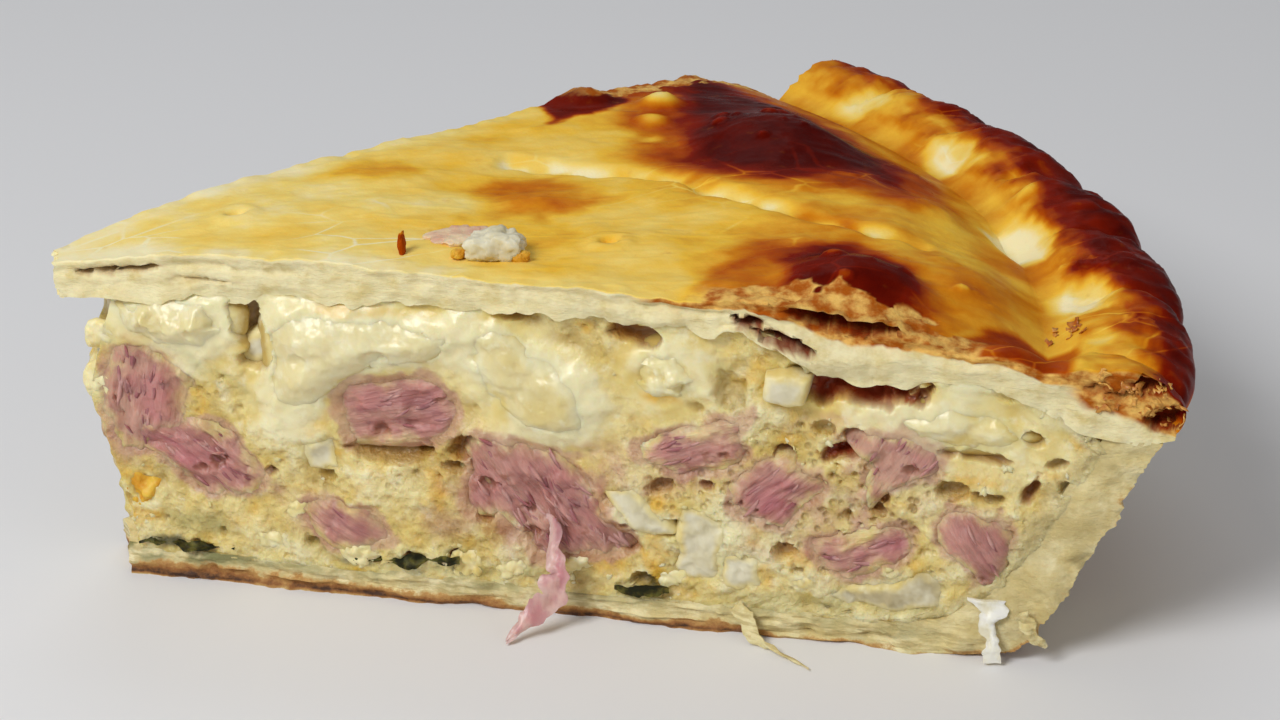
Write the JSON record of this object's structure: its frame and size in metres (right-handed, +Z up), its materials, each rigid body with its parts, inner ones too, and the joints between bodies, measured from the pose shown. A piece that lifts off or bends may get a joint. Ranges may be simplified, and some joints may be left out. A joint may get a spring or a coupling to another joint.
{
  "type": "ham and cheese tart slice",
  "caption": "Wedge of a double-crusted egg, ham and cheese tart with a blistered lid and a crimped rope rim, standing on its flat base.",
  "frame": {"origin": "middle of the slice's bounding box, on the level of its flat base", "axes": "+X from the slice's tip along its middle to the rim, +Z up; the near cut faces -Y and the far cut +Y"},
  "size_m": [0.1302, 0.1172, 0.044],
  "materials": {
    "baked_crust": "egg-washed pastry, satin, golden to dark brown; stands in for baked dough",
    "pale_crust": "pale short pastry, matt; stands in for baked dough",
    "custard": "set egg and cheese custard, moist, porous",
    "ham": "cooked ham, moist, fibrous",
    "egg_white": "boiled egg white, smooth, slightly translucent",
    "egg_yolk": "boiled egg yolk, crumbly",
    "cheese": "melted cheese, glossy",
    "leaf": "cooked dark green leaf, damp"
  },
  "bodies": {
    "root": {"bottom_crust": "pale_crust", "cheese_far_1": "cheese", "cheese_far_2": "cheese", "cheese_near_1": "cheese", "cheese_near_2": "cheese", "cheese_near_3": "cheese", "cheese_near_4": "cheese", "cheese_near_5": "cheese", "custard": "custard", "egg_flake": "egg_white", "egg_white_far_1": "egg_white", "egg_white_far_2": "egg_white", "egg_white_far_3": "egg_white", "egg_white_far_4": "egg_white", "egg_white_near_1": "egg_white", "egg_white_near_2": "egg_white", "egg_white_near_3": "egg_white", "egg_white_near_4": "egg_white", "egg_white_near_5": "egg_white", "egg_white_near_6": "egg_white", "egg_white_near_7": "egg_white", "egg_yolk_far": "egg_yolk", "egg_yolk_near": "egg_yolk", "ham_far_1": "ham", "ham_far_2": "ham", "ham_far_3": "ham", "ham_far_4": "ham", "ham_far_5": "ham", "ham_far_6": "ham", "ham_near_1": "ham", "ham_near_10": "ham", "ham_near_2": "ham", "ham_near_3": "ham", "ham_near_4": "ham", "ham_near_5": "ham", "ham_near_6": "ham", "ham_near_7": "ham", "ham_near_8": "ham", "ham_near_9": "ham", "leaf_far_1": "leaf", "leaf_far_2": "leaf", "leaf_near_1": "leaf", "leaf_near_2": "leaf", "leaf_near_3": "leaf", "top_crust": "baked_crust"}
  },
  "joints": []
}
